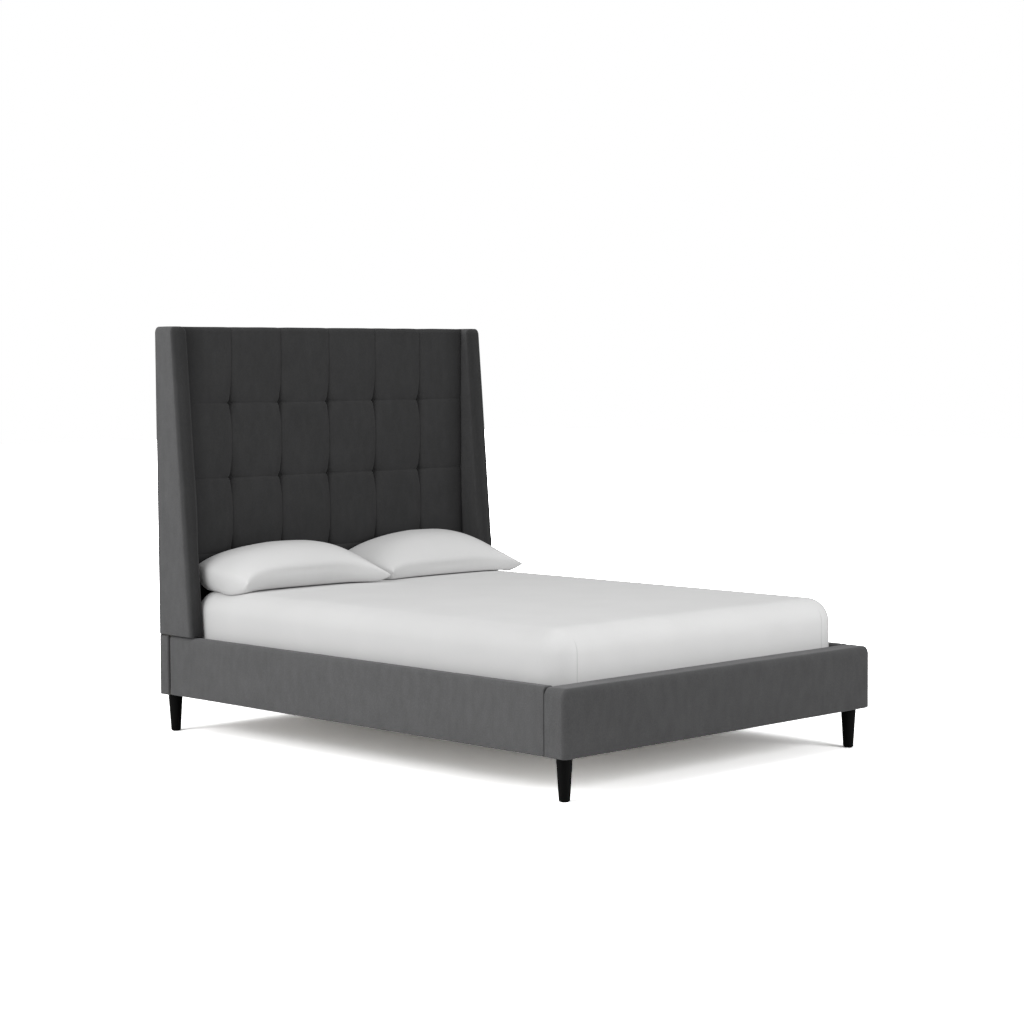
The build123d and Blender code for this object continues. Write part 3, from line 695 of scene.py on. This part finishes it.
def pillow_points(u, v, upper, centre, front_height):
    """A plump pillow that lies on the bed: domed above its seam, and below it blunt and flat. Its
    numbers were set to the outline in the photo."""
    left, tip = np.maximum(-u, 0), np.maximum(u, 0)
    front, back = np.maximum(-v, 0), np.maximum(v, 0)
    points = pillow_seam(u, v, front_height)
    points[:, 0] += centre
    ends = np.maximum(1 - left**6 - tip**4.5, 0) ** 0.5
    sides = np.maximum(1 - front**2.3 - back**6, 0) ** 0.5
    crown = np.maximum(1 - 1.6 * left**1.8 - tip**3.4, -0.6)
    crown *= np.maximum(1 - 0.95 * np.maximum(-(v - 0.1), 0) ** 1.7 - 0.5 * np.maximum(v - 0.1, 0) ** 2, 0)
    swell = 746 - 80 - (front_height + 650) / 2
    rise = ends * sides * (80 - 16 * left + swell * crown) * MM
    under = 110 * MM * np.maximum(1 - left ** (7 + 6 * front) - tip**5, 0) ** 0.5
    under *= np.maximum(1 - front**3.5 - back**6, 0) ** 0.5
    points[:, 2] += np.where(upper, rise, -under)
    points[:, 2] = np.maximum(points[:, 2], rest_height(points[:, 0]))
    return points


def swell_cloth(piece, pressure, frames, cap):
    """Blows the sewn case up a little as cloth, so that its fabric draws in along the seams."""
    start = points_of(piece)
    cloth = piece.modifiers.new("Cloth", "CLOTH")
    settings = cloth.settings
    settings.quality = 5
    settings.mass = 0.3
    settings.tension_stiffness = settings.compression_stiffness = 12
    settings.shear_stiffness = 5
    settings.bending_stiffness = 0.4
    settings.use_pressure = True
    settings.uniform_pressure_force = pressure
    settings.effector_weights.gravity = 0
    cloth.collision_settings.use_self_collision = False
    cloth.point_cache.frame_start, cloth.point_cache.frame_end = 1, frames
    scene = bpy.context.scene
    scene.frame_start, scene.frame_end = 1, frames
    for step in range(1, frames + 1):
        scene.frame_set(step)
    settled = piece.evaluated_get(bpy.context.evaluated_depsgraph_get()).to_mesh()
    moved = np.array([v.co for v in settled.vertices], float) - start
    piece.modifiers.remove(cloth)
    scene.frame_set(1)
    length = np.linalg.norm(moved, axis=1)[:, None]
    return moved * (cap * np.tanh(length / cap) / np.maximum(length, 1e-9))


def in_front(points):
    """One on the pillow's front, where its seam shows, and nothing behind it."""
    return np.clip((790 * MM - points[:, 1]) / (40 * MM), 0, 1)


def relax(piece, points, share, rounds):
    """Evens out points towards the mean of their neighbours, each by its share."""
    ends = np.array([edge.vertices[:] for edge in piece.data.edges])
    count = np.bincount(ends.ravel(), minlength=len(points))[:, None]
    for _ in range(rounds):
        total = np.zeros_like(points)
        np.add.at(total, ends[:, 0], points[ends[:, 1]])
        np.add.at(total, ends[:, 1], points[ends[:, 0]])
        points = points + share[:, None] * (total / count - points)
    return points


def pillow(side, centre, front_height):
    columns, rows = 84, 60
    u_line, v_line = (0.68 * np.sin(line * math.pi / 2) + 0.32 * line
                      for line in (np.linspace(-1, 1, columns + 1), np.linspace(-1, 1, rows + 1)))
    v, u = (a.ravel() for a in np.meshgrid(v_line, u_line, indexing="ij"))
    points, faces = [], []
    for upper in (False, True):
        quads = grid_faces(rows + 1, columns + 1, len(points))
        faces += quads if upper else [q[::-1] for q in quads]
        points += list(pillow_points(u, v, upper, centre, front_height))
    piece = new_object(f"pillow_cushion_{side}", points, faces, PILLOWCASE)
    from_seam = np.tile(np.minimum((1 - np.abs(u)) * PILLOW_HALF, (1 - np.abs(v)) * 150 * MM), 2)
    layer = piece.data.attributes.new("from_seam", "FLOAT", "POINT")
    layer.data.foreach_set("value", from_seam.astype(np.float32))
    weld(piece, 0.1 * MM)
    points = points_of(piece)
    points += swell_cloth(piece, 4.0, 16, SWELL_CAP)
    from_seam = np.zeros(len(points), np.float32)
    piece.data.attributes["from_seam"].data.foreach_get("value", from_seam)
    blunt_end = np.clip((centre - 120 * MM - points[:, 0]) / (160 * MM), 0, 1)
    blunt_end *= np.clip((points[:, 2] - SHEET_TOP - 4 * MM) / (20 * MM), 0, 1)
    points = relax(piece, points, 0.7 * np.maximum(blunt_end, 0.35 * in_front(points)), 14)
    middle = np.array([centre, 880 * MM, SHEET_TOP + 75 * MM])
    inwards = middle - points
    inwards[:, 2] *= 0.3
    inwards /= np.linalg.norm(inwards, axis=1)[:, None]
    pucker = np.array([noise.noise(Vector((p[0] / 0.026, p[1] / 0.05, p[2] / 0.09 + centre)))
                       for p in points])
    pulled = SEAM_PULL * (from_seam < 0.0001) + PUCKER * pucker * np.exp(-from_seam / PUCKER_REACH)
    pulled *= in_front(points) * (1 - 0.8 * blunt_end)
    points += inwards * pulled[:, None]
    points[:, 2] = np.maximum(points[:, 2], rest_height(points[:, 0]))
    points[:, 1] = np.minimum(points[:, 1], PAD_LOW.y + CREST_DEPTH - 0.5 * MM)
    move_points(piece, points)
    smooth = piece.modifiers.new("Smooth cloth", "SUBSURF")
    smooth.levels = smooth.render_levels = 1
    return dress(piece, f"{side}_pillow", "white_pillow", f"pillow_{side}")


# ---- Carried-over CAD nodes ---------------------------------------------------------------------
CAD_FINISHES = {
    "headboard_post": PINE_Z, "headboard_top_rail": PINE_X, "headboard_bottom_rail": PINE_X,
    "headboard_face_board": PLYWOOD, "wing_core": PINE_Z, "side_rail_board": PINE_Y,
    "slat_ledger": PINE_Y, "footboard_core": PINE_X, "leg_": LEG_LACQUER, "leg_bolts": ZINC,
    "leg_glides": PLASTIC, "corner_brackets": ZINC, "bracket_bolts": ZINC, "centre_beam": PINE_Y,
    "beam_brackets": ZINC, "centre_leg": POWDER_COAT, "leveller_stem": ZINC,
    "leveller_pad": PLASTIC, "slat_0": PINE_X, "slat_1": PINE_X,
}


def finish_cad_nodes():
    """Gives each shown CAD node the material of the longest name that its own name starts with."""
    for name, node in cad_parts.items():
        starts = [start for start in CAD_FINISHES if name.startswith(start)]
        if node.hide_render:
            continue
        node.data.materials.clear()
        node.data.materials.append(CAD_FINISHES[max(starts, key=len)])


# ---- Floor, light and camera --------------------------------------------------------------------
# Light strengths and the fabrics' colours were fitted to the photo's own colours.
FLOOR_HALF = 30.0
FLOOR_ALBEDO = 0.8
FLOOR_SHOWN, FLOOR_FAR = 2.05, 14.0     # the floor as the camera sees it, near the bed and far off
FLOOR_FADE = (2.4, 9.0)                 # how far from the middle that change starts and ends
WORLD_STRENGTH, WORLD_SHOWN = 0.40, 1.0


def floor():
    """A white sweep: seen directly it is bright enough to lose its horizon, and it lights the bed
    only as a pale floor does."""
    corners = [(x * FLOOR_HALF, y * FLOOR_HALF, 0) for x, y in ((-1, -1), (1, -1), (1, 1), (-1, 1))]
    material = bpy.data.materials.new("studio_floor")
    material.use_nodes = True
    nodes, links = material.node_tree.nodes, material.node_tree.links
    shader = nodes["Principled BSDF"]
    shader.inputs["Roughness"].default_value = 0.9
    shader.inputs["Specular IOR Level"].default_value = 0.0
    distance = nodes.new("ShaderNodeVectorMath")
    distance.operation = "LENGTH"
    links.new(nodes.new("ShaderNodeTexCoord").outputs["Object"], distance.inputs[0])
    shown = nodes.new("ShaderNodeMapRange")
    for name, value in zip(("From Min", "From Max", "To Min", "To Max"),
                           (*FLOOR_FADE, FLOOR_SHOWN, FLOOR_FAR)):
        shown.inputs[name].default_value = value
    links.new(distance.outputs["Value"], shown.inputs["Value"])
    path = nodes.new("ShaderNodeLightPath")
    mix = nodes.new("ShaderNodeMix")
    mix.data_type = "FLOAT"
    links.new(path.outputs["Is Camera Ray"], mix.inputs["Factor"])
    mix.inputs["A"].default_value = FLOOR_ALBEDO
    links.new(shown.outputs["Result"], mix.inputs["B"])
    links.new(mix.outputs["Result"], shader.inputs["Base Color"])
    new_object("floor", corners, [(0, 1, 2, 3)], material)


def area_light(name, place, target, size, energy):
    lamp = bpy.data.lights.new(name, "AREA")
    lamp.shape, lamp.size, lamp.energy = "SQUARE", size, energy
    light = add_object(name, lamp)
    light.location = place
    light.rotation_euler = (Vector(target) - Vector(place)).to_track_quat("-Z", "Y").to_euler()


def studio():
    scene = bpy.context.scene
    scene.view_settings.view_transform = "Standard"
    world = bpy.data.worlds.new("studio")
    world.use_nodes = True
    scene.world = world
    nodes, links = world.node_tree.nodes, world.node_tree.links
    background = nodes["Background"]
    path = nodes.new("ShaderNodeLightPath")
    strength = nodes.new("ShaderNodeMix")
    strength.data_type = "FLOAT"
    strength.inputs["A"].default_value = WORLD_STRENGTH
    strength.inputs["B"].default_value = WORLD_SHOWN
    links.new(path.outputs["Is Camera Ray"], strength.inputs["Factor"])
    links.new(strength.outputs["Result"], background.inputs["Strength"])
    background.inputs["Color"].default_value = (1, 1, 1, 1)
    area_light("left", (-7.0, 0.8, 2.6), (0, 0, 0.6), 4.5, 275.0)
    area_light("left_high", (-5.0, 0.5, 5.0), (0, 0, 0.4), 5.0, 200.0)
    area_light("overhead", (0, -0.3, 5.5), (0, 0, 0), 5.0, 120.0)
    area_light("foot", (1.2, -6.9, 2.7), (0, 0, 0.6), 4.0, 330.0)


def camera():
    yaw, pitch, roll = (math.radians(a) for a in (CAMERA_YAW, CAMERA_PITCH, CAMERA_ROLL))
    forward = Vector((math.sin(yaw) * math.cos(pitch), math.cos(yaw) * math.cos(pitch),
                      -math.sin(pitch)))
    level = forward.cross(Vector((0, 0, 1))).normalized()
    upright = level.cross(forward)
    right = level * math.cos(roll) + upright * math.sin(roll)
    up = upright * math.cos(roll) - level * math.sin(roll)
    data = bpy.data.cameras.new("camera")
    data.lens, data.sensor_width = CAMERA_LENS, 36.0
    eye = add_object("camera", data)
    turned = Matrix((right, up, -forward)).transposed().to_4x4()
    eye.matrix_world = Matrix.Translation(CAMERA_PLACE) @ turned
    bpy.context.scene.camera = eye


camera()
studio()
floor()
tufted_pad()
tuft_buttons()
for side in ("left", "right"):
    wing(side)
    post_pad(side)
    side_rail(side)
footboard()
back_panel()
back_welt()
mattress()
fitted_sheet()
pillow("left", -PILLOW_HALF, 642)
pillow("right", PILLOW_HALF, 614)
finish_cad_nodes()

bpy.context.view_layer.update()
